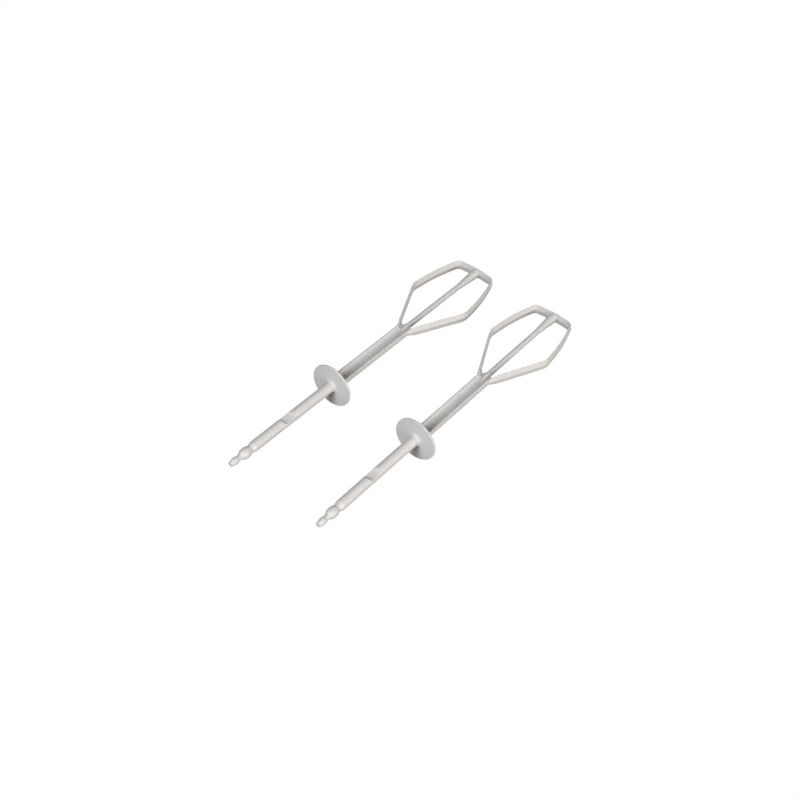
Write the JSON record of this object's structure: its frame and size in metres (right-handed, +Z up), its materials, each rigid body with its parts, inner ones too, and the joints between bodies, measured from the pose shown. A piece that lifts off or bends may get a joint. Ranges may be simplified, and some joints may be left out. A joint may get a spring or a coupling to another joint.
{
  "type": "pair of hand mixer beaters",
  "caption": "Pair of moulded plastic beaters for a hand mixer, each a round shank with a ball-necked nose and a splash disc, an H-section stem and a flat loop split by a centre bar.",
  "frame": {"origin": "middle of the pair's footprint, on the flat surface that both beaters lie on", "axes": "+X along the shanks from the noses towards the loops, +Z up from the surface, +Y towards beater 1"},
  "size_m": [0.2024, 0.0936, 0.025],
  "materials": {
    "plastic": "satin off-white, moulded, slightly translucent"
  },
  "bodies": {
    "beater_1": {"beater_1_drive_nose": "plastic", "beater_1_shank": "plastic", "beater_1_splash_disc": "plastic", "beater_1_stem": "plastic", "beater_1_left_arm": "plastic", "beater_1_left_side": "plastic", "beater_1_right_arm": "plastic", "beater_1_right_side": "plastic", "beater_1_crown": "plastic", "beater_1_centre_bar": "plastic"},
    "beater_2": {"beater_2_drive_nose": "plastic", "beater_2_shank": "plastic", "beater_2_splash_disc": "plastic", "beater_2_stem": "plastic", "beater_2_left_arm": "plastic", "beater_2_left_side": "plastic", "beater_2_right_arm": "plastic", "beater_2_right_side": "plastic", "beater_2_crown": "plastic", "beater_2_centre_bar": "plastic"}
  },
  "joints": [
    {"name": "lift_beater_2", "type": "slide", "parent": "beater_1", "child": "beater_2", "axis": [0, 0, 1], "range_m": [0, 0.1]}
  ]
}
